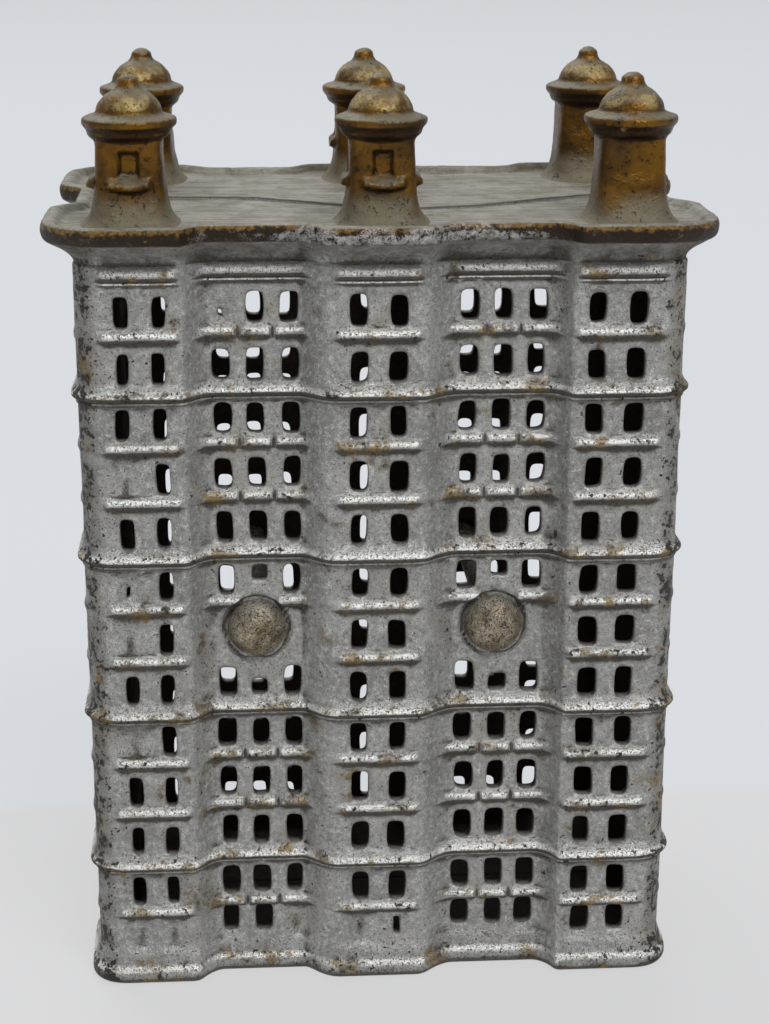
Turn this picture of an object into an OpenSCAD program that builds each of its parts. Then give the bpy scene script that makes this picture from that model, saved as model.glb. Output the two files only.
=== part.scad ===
// Cast iron coin bank in the shape of an apartment tower, in millimetres.
// Two castings, a front half and a rear half, meet at mid-depth and are clamped by two
// domed bolts with square nuts. The posts, belts and sills are cast in one with each half.
// X runs along the front, Y from front to back, Z up. The origin is under the middle.

/* [Body] */
// Width of the walls along the front
body_w = 105; // [87:1:126]
// Depth of the walls from front to back
body_d = 65; // [54:1:80]
// Height of the roof's upper edge
roof_z = 141.3; // [118:0.1:170]
// Height from the base to the lowest belt
ground_h = 23.8; // [19:0.1:29]
// Thickness of the cast walls
wall = 2.5; // [2:0.1:3.2]
// Thickness of the floor
floor_t = 3; // [2:0.1:4]
// Outer radius of the upright corners
corner_r = 5; // [3:0.5:6]

/* [Bays] */
// Extra width of wall outside the two end bays, each side
end_extra = 1.2; // [0:0.1:2]
// How far the second and fourth bays stand back
bay_recess = 4.2; // [2:0.1:5]
// Width of the curve that joins two bays
bay_blend = 5; // [3:0.5:6]

/* [Roof] */
// How far the roof stands out past the walls
eave = 5.2; // [3:0.1:7]
// Thickness of the roof
roof_t = 3.2; // [2.4:0.1:4]
// Depth of the dish inside the roof's rim
dish = 0.9; // [0.4:0.1:1.4]
// Width of the roof's rim
rim_w = 4; // [2:0.5:5]
// Height of the cove under the roof
cove_h = 4.2; // [3:0.1:6]
// How far the roof's joint bows towards the front
roof_bow = 14; // [0:1:15]
// Length of the coin slot
slot_len = 26; // [22:0.5:29]
// Width of the coin slot
slot_w = 4.8; // [4.4:0.1:5.5]

/* [Windows and mouldings] */
// Width of a window
win_w = 3.2; // [2.4:0.1:3.6]
// Height of a window
win_h = 5.4; // [4:0.1:5.8]
// How far the belts stand out
belt_out = 1.6; // [0.8:0.1:2.2]
// Height of a belt
belt_h = 3; // [2:0.1:4]
// How far the sills stand out
sill_out = 0.9; // [0.5:0.1:1.4]
// Height of a sill
sill_h = 1.3; // [0.8:0.1:1.8]
// Height of the base moulding
base_h = 6; // [4:0.5:6.5]

/* [Posts] */
// Height of a post above the roof's edge
post_h = 23.7; // [19:0.1:29]
// Width of a post's square shaft
post_w = 12; // [10:0.5:13]
// Diameter of a post's round cap
cap_d = 15.8; // [14:0.1:18]
// Distance from the side wall's face to the middle of a corner post
post_in_x = 10; // [9:0.5:11]
// Distance from the front wall's face to a post's middle
post_in_y = 8.2; // [8:0.1:9]

/* [Bolts and nuts] */
// Diameter of a bolt
bolt_d = 4.8; // [4:0.1:6]
// Diameter of the domed head
head_d = 10.4; // [9:0.1:12]
// Height of the domed head
head_h = 4.4; // [3.5:0.1:5]
// Depth of the round seats for the heads and the nuts
seat_deep = 0.8; // [0.5:0.1:1.2]
// Width across the flats of a square nut
nut_af = 8.7; // [7.5:0.1:10]
// Height of a nut
nut_h = 4; // [3:0.1:5]
// How far a bolt's end stands out of its nut
bolt_end = 2; // [1:0.1:3]
// How far the left bolt is off the middle of its bay, to the right
left_bolt_off = -1.9; // [-2:0.1:2]
// How far the right bolt is off the middle of its bay, to the right
right_bolt_off = -0.4; // [-2:0.1:2]
// Height of both bolts over the middle of their storey
bolt_rise = 0.4; // [-1:0.1:2]

/* [Clearances] */
// Gap between the two castings
seam_gap = 0.3; // [0.2:0.05:0.5]
// Gap under the heads and the nuts
seat_gap = 0.2; // [0.1:0.05:0.4]
// Running fit of a bolt in its nut, on the radius
thread_fit = 0.05; // [0.02:0.01:0.1]
// Room around a bolt in the castings, on the radius
hole_room = 0.3; // [0.2:0.05:0.6]

/* [Hidden] */
$fn = 48;
eps = 0.01;

half_w = body_w / 2;
half_d = body_d / 2;
silver = [0.66, 0.66, 0.65];
bronze = [0.42, 0.31, 0.14];
iron = [0.40, 0.36, 0.32];

// The front has five equal bays and each side has three.
bay_pitch = (body_w - 2 * end_extra) / 5;
side_pitch = body_d / 3;
pair_step = bay_pitch / 3;
triple_step = bay_pitch * 0.29;

// Four belts part the height into a ground group and four equal groups of three storeys.
group_h = (roof_z - ground_h) / 4;
storey = group_h / 3;
ground_storey = ground_h / 3;
belts = [for (i = [0:3]) ground_h + i * group_h];
// Window rows: [height of the row, has a sill, lies beside the bolts (-1 under, 1 over)]
first_drop = 0.55;
rows = concat(
    [for (i = [0:1]) [ground_h - (0.72 + i) * ground_storey, 1, 0]],
    [for (g = [1:3], i = [0:2])
        [ground_h + g * group_h - (first_drop + i) * storey, i < 2 ? 1 : 0,
         g == 2 ? 1 - i : 0]],
    [for (i = [1:2]) [roof_z - (first_drop + i) * storey, i < 2 ? 1 : 0, 0]]);
bolt_row_z = ground_h + 2 * group_h - (first_drop + 1) * storey;
sill_drop = win_h / 2 + 1;

// The bolts are a little off the middles of the second and fourth bays.
function bolt_x(sx) = sx * bay_pitch + (sx < 0 ? left_bolt_off : right_bolt_off);
bolt_z = bolt_row_z + bolt_rise;
recess_face = half_d - bay_recess;
seat_face = recess_face - seat_deep;
pad_t = wall + 1;
head_seat_d = head_d + 2;
nut_seat_d = nut_af * sqrt(2) + 1.6;
neck_w = bolt_d + 0.4;
neck_h = 2.4;

post_x = half_w - post_in_x;
post_y = half_d - post_in_y;
deck_z = roof_z - dish;

// How far the wall stands back, from 0 to 1, at u along a face with bays of one pitch.
function stand_back(u, lo, hi) =
    let (d = max(lo - u, u - hi) + bay_blend / 2)
    d <= 0 ? 1 : d >= bay_blend ? 0 : (1 + cos(180 * d / bay_blend)) / 2;
function front_back(x) = stand_back(abs(x), bay_pitch / 2, bay_pitch * 1.5);
function side_back(y) = stand_back(abs(y), -bay_blend, side_pitch / 2);

blend_steps = 6;
function blend_run(at, towards) =
    [for (k = [0:blend_steps]) at + towards * bay_blend * (k / blend_steps - 0.5)];
front_xs = concat([for (e = [-1.5, -0.5, 0.5, 1.5]) each blend_run(e * bay_pitch, 1)]);
side_ys = blend_run(-side_pitch / 2, -1);

// Outline of the front half, grown by g, from its left end at y_end round to its right end.
function corner(g, sx, a0, a1) =
    let (r = corner_r + max(g, -corner_r + 1),
         cx = half_w + g - r, cy = half_d + g - r)
    [for (k = [0:4]) let (a = a0 + (a1 - a0) * k / 4) [sx * cx + r * cos(a), -cy + r * sin(a)]];
function side_run(g, sx) = [for (y = side_ys) [sx * (half_w + g - bay_recess * side_back(y)), y]];
function reversed(list) = [for (k = [len(list) - 1:-1:0]) list[k]];
function half_outline(g, y_left, y_right) = concat(
    [[-(half_w + g - bay_recess), y_left]],
    side_run(g, -1),
    corner(g, -1, 180, 270),
    [for (x = front_xs) [x, -(half_d + g) + bay_recess * front_back(x)]],
    corner(g, 1, 270, 360),
    reversed(side_run(g, 1)),
    [[half_w + g - bay_recess, y_right]]);

// The roof's joint bows forward behind the front posts.
bow_x = half_w * 0.15;
bow_reach = half_w - bay_recess - wall - bow_x;
bow_steps = 24;
function bow(x) = roof_bow * (1 + cos(180 * min(1, abs(x - bow_x) / bow_reach))) / 2;
function roof_joint(g, way) =
    let (w = half_w + g - bay_recess)
    [for (k = [1:bow_steps - 1]) let (x = w - 2 * w * k / bow_steps)
        [x, -way * bow(x) - seam_gap / 2]];

// A slab of one half from z0 to z1, with its outer face grown by g, cut straight at the joint.
module slab(g, z0, z1) {
    translate([0, 0, z0])
        linear_extrude(z1 - z0)
            polygon(half_outline(g, -seam_gap / 2, -seam_gap / 2));
}

// The hollow of one half, which runs out past the joint.
module hollow(g, z0, z1) {
    translate([0, 0, z0])
        linear_extrude(z1 - z0)
            polygon(half_outline(g, 1, 1));
}

// A slab of the roof, cut along the bowed joint. way is 1 on the front half, -1 on the rear.
module roof_slab(g, z0, z1, way) {
    w = half_w + g - bay_recess;
    y_left = -way * bow(-w) - seam_gap / 2;
    y_right = -way * bow(w) - seam_gap / 2;
    translate([0, 0, z0])
        linear_extrude(z1 - z0)
            polygon(concat(half_outline(g, y_left, y_right), roof_joint(g, way)));
}

// A belt: a thin fillet, a roll and a sloping top, in three steps.
module belt(z) {
    slab(belt_out * 0.45, z - belt_h / 2, z - belt_h / 6);
    slab(belt_out, z - belt_h / 6 - eps, z + belt_h / 4);
    slab(belt_out * 0.5, z + belt_h / 4 - eps, z + belt_h / 2);
}

// The base moulding, which the bank stands on.
module base() {
    slab(belt_out, 0, base_h / 2);
    slab(belt_out * 0.5, base_h / 2 - eps, base_h);
}

// The cove under the roof, in steps that grow along a quarter curve.
cove_steps = 4;
module cove() {
    z0 = roof_z - roof_t - cove_h;
    step = cove_h / cove_steps;
    for (k = [0:cove_steps - 1])
        slab((eave - 0.6) * (1 - cos(90 * (k + 1) / (cove_steps + 1))),
             z0 + k * step - eps, z0 + (k + 1) * step + eps);
}

module windows_front() {
    for (row = rows, bay = [-2:2]) {
        triple = abs(bay) == 1;
        beside_bolt = triple && abs(row[0] - bolt_row_z) < storey * 1.5;
        for (k = triple ? [-1:1] : [-0.5, 0.5]) {
            short = beside_bolt && k == 0;
            on_bolt = triple && abs(row[0] - bolt_row_z) < eps;
            h = short ? win_h * 0.6 : win_h;
            lift = short ? row[2] * (win_h - h) / 2 : 0;
            x = bay * bay_pitch + k * (triple ? triple_step : pair_step);
            if (!on_bolt)
                translate([x - win_w / 2, -half_d - 1, row[0] - h / 2 + lift])
                    cube([win_w, bay_recess + wall + 1.5, h]);
        }
    }
}

module windows_side(sx) {
    far = half_w - bay_recess - wall - 0.5;
    for (row = rows, y = [-side_pitch - pair_step / 2, -side_pitch + pair_step / 2,
                          -side_pitch * 0.25])
        translate([sx > 0 ? far : -half_w - 1, y - win_w / 2, row[0] - win_h / 2])
            cube([bay_recess + wall + 1.5, win_w, win_h]);
}

module sills_front() {
    for (row = rows, bay = [-2:2]) {
        triple = abs(bay) == 1;
        on_bolt = triple && abs(row[0] - bolt_row_z) < eps;
        face = -half_d + (triple ? bay_recess : 0);
        if (row[1] == 1 && !on_bolt)
            for (k = triple ? [-1:1] : [0]) {
                len = triple ? win_w + 1.4 : pair_step + win_w + 3;
                translate([bay * bay_pitch + k * triple_step - len / 2, face - sill_out,
                           row[0] - sill_drop - sill_h / 2])
                    cube([len, sill_out + wall / 2, sill_h]);
            }
    }
}

module sills_side(sx) {
    len = pair_step + win_w + 3;
    for (row = rows)
        if (row[1] == 1)
            translate([sx > 0 ? half_w - wall / 2 : -half_w - sill_out,
                       -side_pitch - len / 2, row[0] - sill_drop - sill_h / 2])
                cube([sill_out + wall / 2, len, sill_h]);
}

// A roof post: a flared foot, a square shaft with a blind window on each face, and a round
// cap under a dome and a small knob.
cap_h = 10;
foot_out = 1.5;
foot_steps = 3;
foot_step_h = 1.4;
shaft_h = post_h - cap_h;
niche_deep = 0.8;
niche_w = 2.6;
dome_r = 5.4;
knob_r = 1.9;
module post() {
    niche_z = roof_z + shaft_h * 0.45;
    for (k = [0:foot_steps - 1]) {
        w = post_w + 2 * foot_out * (1 - k / foot_steps);
        translate([-w / 2, -w / 2, deck_z - eps])
            cube([w, w, dish + foot_step_h * (k + 1)]);
    }
    difference() {
        translate([-post_w / 2, -post_w / 2, deck_z])
            cube([post_w, post_w, dish + shaft_h]);
        for (a = [0:90:270])
            rotate(a)
                translate([-niche_w / 2, -post_w / 2 - eps, niche_z])
                    cube([niche_w, niche_deep, shaft_h * 0.35]);
    }
    for (a = [0:90:270])
        rotate(a)
            translate([-niche_w, -post_w / 2 - sill_out, niche_z - sill_h])
                cube([niche_w * 2, sill_out + 1, sill_h]);
    translate([0, 0, roof_z + shaft_h - eps])
        rotate_extrude()
            polygon([
                [0, 0], [post_w / 2, 0], [cap_d / 2 - 0.6, cap_h * 0.12], [cap_d / 2, cap_h * 0.22],
                [cap_d / 2, cap_h * 0.36], [cap_d / 2 - 0.6, cap_h * 0.43],
                [dome_r + 0.2, cap_h * 0.45], [dome_r, cap_h * 0.56],
                [dome_r * 0.85, cap_h * 0.68], [dome_r * 0.6, cap_h * 0.77],
                [knob_r, cap_h * 0.82], [knob_r, cap_h * 0.92],
                [knob_r * 0.6, cap_h * 0.98], [0, cap_h + eps]]);
}

// A pad behind each seat, which keeps the wall thick under the head or the nut.
module pads(seat_d) {
    for (sx = [-1, 1])
        translate([bolt_x(sx), -seat_face, bolt_z])
            rotate([-90, 0, 0])
                cylinder(d = seat_d + 2, h = pad_t);
}

// The round seats for the heads or the nuts.
module seats(seat_d) {
    for (sx = [-1, 1])
        translate([bolt_x(sx), -half_d, bolt_z])
            rotate([-90, 0, 0])
                cylinder(d = seat_d, h = half_d - seat_face);
}

// The roof of one casting, dished inside its rim.
past_bow = roof_bow + 2;
module roof(way) {
    difference() {
        union() {
            roof_slab(eave - 0.7, roof_z - roof_t, roof_z - roof_t * 0.7, way);
            roof_slab(eave, roof_z - roof_t * 0.7 - eps, roof_z - 0.5, way);
            roof_slab(eave - 0.5, roof_z - 0.5 - eps, roof_z, way);
        }
        translate([0, 0, deck_z])
            linear_extrude(dish + 1)
                polygon(half_outline(eave - rim_w, past_bow, past_bow));
    }
}

// One casting without its bolt holes, facing the front. way is 1 on the front half and -1 on
// the rear half, which is mirrored afterwards.
module casting(way, seat_d) {
    difference() {
        union() {
            difference() {
                union() {
                    slab(0, 0, roof_z - roof_t);
                    for (z = belts)
                        belt(z);
                    base();
                    cove();
                    sills_front();
                    for (sx = [-1, 1])
                        sills_side(sx);
                }
                hollow(-wall, floor_t, roof_z - roof_t + 1);
                windows_front();
                for (sx = [-1, 1])
                    windows_side(sx);
            }
            roof(way);
            for (x = [-post_x, 0, post_x])
                translate([x, -post_y, 0])
                    post();
            pads(seat_d);
        }
        seats(seat_d);
    }
}

hole_h = pad_t + 2;
module front_half() {
    hole_w = neck_w + 2 * hole_room;
    color(silver)
        difference() {
            casting(1, head_seat_d);
            for (sx = [-1, 1])
                translate([bolt_x(sx) - hole_w / 2, -seat_face - 1, bolt_z - hole_w / 2])
                    cube([hole_w, hole_h, hole_w]);
        }
}

module rear_half() {
    slot_mid = (post_y - post_w / 2 - foot_out - bow(0)) / 2;
    color(silver)
        mirror([0, 1, 0])
            difference() {
                casting(-1, nut_seat_d);
                for (sx = [-1, 1])
                    translate([bolt_x(sx), -seat_face - 1, bolt_z])
                        rotate([-90, 0, 0])
                            cylinder(d = bolt_d + 2 * hole_room, h = hole_h);
                translate([-slot_w / 2, -slot_mid - slot_len / 2, roof_z - roof_t - 1])
                    cube([slot_w, slot_len, roof_t + 2]);
            }
}

// A bolt with a smooth domed head on a square neck, which keeps it from turning.
head_gap_y = -seat_face - seat_gap;
tip_y = seat_face + seat_gap + nut_h + bolt_end;
tip_cone = 0.8;
dome_steps = 12;
module bolt(sx) {
    // Radius of the sphere that the head is cut from
    ball_r = (pow(head_d / 2, 2) + pow(head_h, 2)) / (2 * head_h);
    half_angle = asin(min(1, head_d / 2 / ball_r));
    reach = head_h > ball_r ? 180 - half_angle : half_angle;
    color(iron)
        translate([bolt_x(sx), 0, bolt_z]) {
            translate([0, head_gap_y, 0])
                rotate([90, 0, 0])
                    rotate_extrude()
                        polygon(concat([[0, 0]],
                            [for (k = [0:dome_steps]) let (a = reach * (1 - k / dome_steps))
                                [ball_r * sin(a), head_h - ball_r + ball_r * cos(a)]]));
            translate([-neck_w / 2, head_gap_y - eps, -neck_w / 2])
                cube([neck_w, neck_h + eps, neck_w]);
            translate([0, head_gap_y, 0])
                rotate([-90, 0, 0])
                    cylinder(d = bolt_d, h = tip_y - tip_cone - head_gap_y);
            translate([0, tip_y - tip_cone, 0])
                rotate([-90, 0, 0])
                    cylinder(d1 = bolt_d, d2 = bolt_d - 2 * tip_cone, h = tip_cone);
        }
}

// A square nut with its corners turned off.
module nut(sx) {
    color(iron)
        translate([bolt_x(sx), seat_face + seat_gap, bolt_z])
            rotate([-90, 0, 0])
                difference() {
                    intersection() {
                        translate([-nut_af / 2, -nut_af / 2, 0])
                            cube([nut_af, nut_af, nut_h]);
                        cylinder(d = nut_af * 1.3, h = nut_h);
                    }
                    translate([0, 0, -1])
                        cylinder(r = bolt_d / 2 + thread_fit, h = nut_h + 2);
                }
}

module bolt_left() {
    bolt(-1);
}

module bolt_right() {
    bolt(1);
}

module nut_left() {
    nut(-1);
}

module nut_right() {
    nut(1);
}

front_half();
rear_half();
bolt_left();
bolt_right();
nut_left();
nut_right();
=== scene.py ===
# %% [markdown]
# # A cast iron coin bank in the shape of an apartment tower
#
# The real thing is a hollow toy tower of cast iron, about 165 mm tall. Two castings, a front
# half and a rear half, meet at mid-depth. Two bolts with domed heads clamp them together, and
# square nuts close the bolts at the back. Silver paint covers the walls and bronze paint the
# roof posts, and both are worn through in places. This lesson builds its looks around the
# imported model, which fixes every size and every place, so we load that first.

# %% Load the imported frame
import math

import bmesh
import bpy
import numpy as np
from mathutils import Matrix, Vector


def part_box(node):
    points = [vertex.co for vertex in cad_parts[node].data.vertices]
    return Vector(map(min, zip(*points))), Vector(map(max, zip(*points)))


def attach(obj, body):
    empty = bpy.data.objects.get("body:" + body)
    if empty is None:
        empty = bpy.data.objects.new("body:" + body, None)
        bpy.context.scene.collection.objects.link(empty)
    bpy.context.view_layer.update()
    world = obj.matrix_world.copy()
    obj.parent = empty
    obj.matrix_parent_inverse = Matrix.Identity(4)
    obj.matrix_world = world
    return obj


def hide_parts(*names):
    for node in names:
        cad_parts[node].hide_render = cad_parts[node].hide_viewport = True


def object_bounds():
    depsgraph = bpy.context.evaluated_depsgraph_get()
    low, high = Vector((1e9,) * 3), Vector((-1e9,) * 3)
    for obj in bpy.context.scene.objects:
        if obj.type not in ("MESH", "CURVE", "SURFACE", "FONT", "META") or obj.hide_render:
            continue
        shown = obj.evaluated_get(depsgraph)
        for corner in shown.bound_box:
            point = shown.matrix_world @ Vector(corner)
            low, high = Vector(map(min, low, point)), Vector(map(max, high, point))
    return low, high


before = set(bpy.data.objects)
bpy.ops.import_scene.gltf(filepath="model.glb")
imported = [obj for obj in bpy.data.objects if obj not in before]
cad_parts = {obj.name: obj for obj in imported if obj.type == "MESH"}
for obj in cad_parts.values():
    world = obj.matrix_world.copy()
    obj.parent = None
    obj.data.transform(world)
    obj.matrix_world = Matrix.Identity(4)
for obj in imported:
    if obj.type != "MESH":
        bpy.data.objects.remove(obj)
cad_low, cad_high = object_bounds()

# %% [markdown]
# ## Sizes
#
# We work in millimetres, because a pattern maker would, and turn them into metres when a mesh
# is made. The overall box comes from the frame. The few driving sizes below are those of the
# castings, and everything else is worked out from them.

# %% Driving sizes in millimetres
MM = 0.001
box_w, box_d, box_h = (cad_high - cad_low) / MM
EAVE = 5.2
POST_H = 23.7
HALF_W = box_w / 2 - EAVE
HALF_D = box_d / 2 - EAVE
ROOF_Z = box_h - POST_H
GROUND = 23.8
WALL = 2.5
FLOOR = 3.0
CORNER = 5.0
RECESS = 4.2
BLEND = 5.0
CEILING = ROOF_Z - 3.2
DECK = ROOF_Z - 1.3
GAP = 0.3
WIN_W, WIN_H = 3.2, 5.4
print("walls %.1f x %.1f, roof at %.1f" % (2 * HALF_W, 2 * HALF_D, ROOF_Z))

# %% Bays and storeys
BAY = (2 * HALF_W - 2.4) / 5
SIDE_BAY = 2 * HALF_D / 3
PAIR = BAY / 6
TRIPLE = BAY * 0.29
GROUP = (ROOF_Z - GROUND) / 4
STOREY = GROUP / 3
BELTS = [GROUND + k * GROUP for k in range(4)]
SILL_TOP, SILL_FOOT = WIN_H / 2 + 0.25, WIN_H / 2 + 2.45


def storeys():
    """Every storey from the ground up: its name, the height of its windows, has it a sill."""
    found = [("E%d" % (2 - k), GROUND - (1.72 - k) * GROUND / 3, k == 1) for k in range(2)]
    for g, letter in enumerate("DCBA", 1):
        for k in (2, 1) if letter == "A" else (2, 1, 0):
            name = letter + str(k if letter == "A" else k + 1)
            found.append((name, GROUND + g * GROUP - (0.55 + k) * STOREY, k < 2))
    return found


STOREYS = storeys()
HEIGHT_OF = {name: z for name, z, _ in STOREYS}
print("storeys:", {n: round(z, 1) for n, z, _ in STOREYS})

# %% Where the bolts go
bolt_low, bolt_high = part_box("bolt_left")
BOLT_Z = (bolt_low.z + bolt_high.z) / 2 / MM
HEAD_R = (bolt_high.x - bolt_low.x) / 2 / MM
HEAD_Y, TIP_Y = bolt_low.y / MM, bolt_high.y / MM
BOLT_X = []
for side in ("left", "right"):
    a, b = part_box("bolt_" + side)
    BOLT_X.append((a.x + b.x) / 2 / MM)
BOLT_R = 2.4
HEAD_SEAT, NUT_SEAT, SEAT_DEEP = HEAD_R + 1.0, 6.95, 0.8
print("bolts at x", [round(x, 2) for x in BOLT_X], "z", round(BOLT_Z, 2))

# %% [markdown]
# ## Random unevenness
#
# A sand casting is never quite flat: the sand leaves a grain, and the pattern leaves waves. We
# need smooth random values in space for that. Blender has noise textures, but a small lattice
# of seeded numbers with smooth steps between them is quick in numpy, gives the same result
# each run, and can move thousands of points at once.

# %% Smooth noise in space
rng = np.random.default_rng(1907)
LATTICE = rng.uniform(-1, 1, (32, 32, 32))


def noise(points, size, shift=0.0):
    """Smooth values from -1 to 1 at the points, with bumps about as wide as size."""
    q = points / size + shift + 512.0
    cell = np.floor(q).astype(int)
    f = q - cell
    f = f * f * (3 - 2 * f)
    total = np.zeros(len(points))
    for dx in (0, 1):
        for dy in (0, 1):
            for dz in (0, 1):
                w = np.abs(1 - dx - f[:, 0]) * np.abs(1 - dy - f[:, 1]) * np.abs(1 - dz - f[:, 2])
                i, j, k = (cell + (dx, dy, dz)).T % 32
                total += w * LATTICE[i, j, k]
    return total


def smooth(value, low, high):
    """A soft step from 0 to 1 as value goes from low to high."""
    s = np.clip((value - low) / (high - low), 0, 1)
    return s * s * (3 - 2 * s)


print("noise sample:", np.round(noise(np.array([[1.0, 2, 3], [4, 5, 6]]), 2.0), 3))

# %% [markdown]
# ## The outline of the walls
#
# Seen from above, the front has five bays, and the second and fourth stand back. Soft curves
# join them. Each side has three bays, and the middle one stands back. We describe the outline
# of the front half as five legs: left side, corner, front, corner, right side. One function
# then places any point of the wall, however far it stands out, and both halves use it.

# %% Outline of one half
JOINT_Y = -GAP / 2
SIDE_END = -(HALF_D - CORNER)
FRONT_END = HALF_W - CORNER
# The pattern maker set the bays by eye: how far each place along the front drifts to the right.
# Most of a bay, this share of it either side of its middle, drifts as one.
STEADY, STEADY_LAST = 0.36, 0.25
BAY_DRIFT = {"front": (-1.0, -1.4, -0.8, 0.4, -0.9), "rear": (-2.0, -1.7, -2.6, -0.4, -1.7)}
CURVE_DRIFT = {"front": (-2.0, -1.9, -1.0, 1.0), "rear": (-2.0, -1.9, -1.3, -0.9)}


def stand_back(u, low, high):
    """1 inside a bay that stands back, 0 outside it, and a cosine curve between."""
    d = np.maximum(low - u, u - high) + BLEND / 2
    return (1 + np.cos(np.pi * np.clip(d / BLEND, 0, 1))) / 2


def drift(t, half):
    """How far the place t along the front has drifted, on one half."""
    at, by = [-FRONT_END, FRONT_END], [0, 0]
    for k, bay in enumerate(range(-2, 3)):
        at += [bay * BAY - STEADY * BAY, bay * BAY + (STEADY if bay < 2 else STEADY_LAST) * BAY]
        by += [BAY_DRIFT[half][k]] * 2
    for k, curve in enumerate((-1.5, -0.5, 0.5, 1.5)):
        at.append(curve * BAY)
        by.append(CURVE_DRIFT[half][k])
    order = np.argsort(at)
    return np.interp(t, np.array(at)[order], np.array(by)[order])


def place(leg, t, g, half="front"):
    """The outline at t along a leg, grown by g: its x and y, in millimetres."""
    sx = np.where(leg < 2, -1.0, 1.0)
    side_back = RECESS * stand_back(np.abs(t), -BLEND, SIDE_BAY / 2)
    front_back = RECESS * stand_back(np.abs(t), BAY / 2, 1.5 * BAY)
    a = np.radians(t)
    which = [leg == 2, leg % 2 == 1]
    x = np.select(which, [t + drift(t, half), sx * FRONT_END + (CORNER + g) * np.cos(a)],
                  sx * (HALF_W + g - side_back))
    y = np.select(which, [front_back - HALF_D - g, SIDE_END + (CORNER + g) * np.sin(a)], t)
    return x, y


ROOF_BOW, BOW_SHIFT = 14, 0.15


def bow(x):
    """How far the joint in the roof bows towards the front, behind the front posts."""
    mid = HALF_W * BOW_SHIFT
    reach = HALF_W - RECESS - WALL - mid
    return ROOF_BOW * (1 + np.cos(np.pi * np.minimum(1, np.abs(x - mid) / reach))) / 2


print("outline at the middle of the front:", place(np.array([2]), np.array([0.0]), 0))

# %% [markdown]
# ## Grid lines
#
# The walls become one cage of four-sided faces, so that a subdivision surface can round it.
# A cage only gives clean windows and sills if its lines run along their edges. So we list the
# upright lines bay by bay, with lines at both sides of each window and at the ends of each
# sill, and fill the stretches between with lines about a millimetre and a half apart.

# %% Upright lines
PANE = np.array([-0.5, -1 / 6, 1 / 6, 0.5]) * WIN_W
PAIR_SILL = PAIR + WIN_W / 2 + 1.5
TRIPLE_SILL = WIN_W / 2 + 0.7


def bay_lines(bay):
    """The upright lines of one front bay, from its middle."""
    if abs(bay) == 1:
        ends = [m + s * TRIPLE_SILL for m in (-TRIPLE, 0, TRIPLE) for s in (-1, 1)]
        piers = [s * (TRIPLE / 2 + p) for s in (-1, 1) for p in (-0.22, 0.22)]
        return sorted(ends + piers + [m + p for m in (-TRIPLE, 0, TRIPLE) for p in PANE])
    ends = [-PAIR_SILL, -0.6, 0.6, PAIR_SILL]
    return sorted(ends + [m + p for m in (-PAIR, PAIR) for p in PANE])


def filled(marks, step=1.55):
    """The marks, with more lines between those that lie far apart."""
    out = [marks[0]]
    for a, b in zip(marks, marks[1:]):
        n = max(1, round(abs(b - a) / step))
        out += [a + (b - a) * k / n for k in range(1, n + 1)]
    return out


front_marks = [bay * BAY + o for bay in range(-2, 3) for o in bay_lines(bay)]
front_marks = [x for x in front_marks if abs(x) < FRONT_END - 0.4]
front_t = filled([-FRONT_END, *front_marks, FRONT_END])
SIDE_PAIR, SIDE_LONE = SIDE_BAY, SIDE_BAY / 4
side_marks = [SIDE_PAIR + s * PAIR + p for s in (-1, 1) for p in PANE]
side_marks += [SIDE_PAIR - PAIR_SILL, *(SIDE_LONE + PANE)]
side_marks = [-y for y in sorted(side_marks) if y < -SIDE_END]
side_t = filled([JOINT_Y, *side_marks, SIDE_END])
corner_t = [180 + 90 * k / 6 for k in range(1, 6)]
FRONT_START = len(side_t) + len(corner_t)
LEG = np.concatenate([np.full(len(leg), k) for k, leg in
                      enumerate((side_t, corner_t, front_t, corner_t, side_t))])
T = np.array(side_t + corner_t + front_t + [a + 90 for a in corner_t] + side_t[::-1])
print("upright lines:", len(T))

# %% [markdown]
# The level lines follow the storeys: the top and foot of each window and of each sill, the
# rolls of the four belts, the base, a bead under the roof, the cove and the roof's edge. Each
# line also says how far the whole wall stands out there.

# %% Level lines
BASE_ROLL = [(0, 1.0), (0.45, 1.55), (1.6, 1.6), (2.8, 1.5), (3.2, 0.95), (4.0, 0.75),
             (4.9, 0.6), (5.7, 0.35), (6.3, 0.0)]
BELT_ROLL = [(-2.1, 0), (-1.8, 0.5), (-1.4, 0.55), (-1.15, 0.25), (-0.95, 1.2), (-0.5, 1.6),
             (0.0, 1.6), (0.3, 1.1), (0.75, 0.65), (1.3, 0.3)]
SILL_ROLL = [(SILL_FOOT, 0.0), (SILL_FOOT - 0.16, 0.8), (SILL_FOOT - 0.45, 1.1),
             (SILL_FOOT - 1.15, 1.05), (SILL_FOOT - 1.55, 0.75), (SILL_TOP, 0.0)]
BEAD_ROLL = [(129.8, 0), (130.6, 0.0), (130.85, 0.5), (131.25, 0.55), (131.5, 0.05),
             (131.75, 0.9), (132.3, 1.1), (133.0, 0.85), (133.6, 0.35), (133.95, 0)]
PANE_AT = np.array([-0.5, -1 / 6, 1 / 6, 0.5]) * WIN_H
COVE_Z = ROOF_Z - 7.2
COVE = [(COVE_Z + 4 * s, 4.9 * (1 - math.cos(math.pi / 2 * s)) - 0.4) for s in
        (0, 0.2, 0.4, 0.6, 0.8, 1)]
EDGE = [(CEILING + 0.2, 4.75), (CEILING + 0.6, 5.0), (CEILING + 1.5, 5.2), (ROOF_Z - 0.9, 5.15),
        (ROOF_Z - 0.35, 4.95)]
RIM = [(ROOF_Z - 0.03, 4.45), (ROOF_Z, 3.7), (ROOF_Z - 0.08, 3.0), (ROOF_Z - 0.5, 2.5),
       (ROOF_Z - 1.0, 2.1), (DECK, 1.4)]

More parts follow.
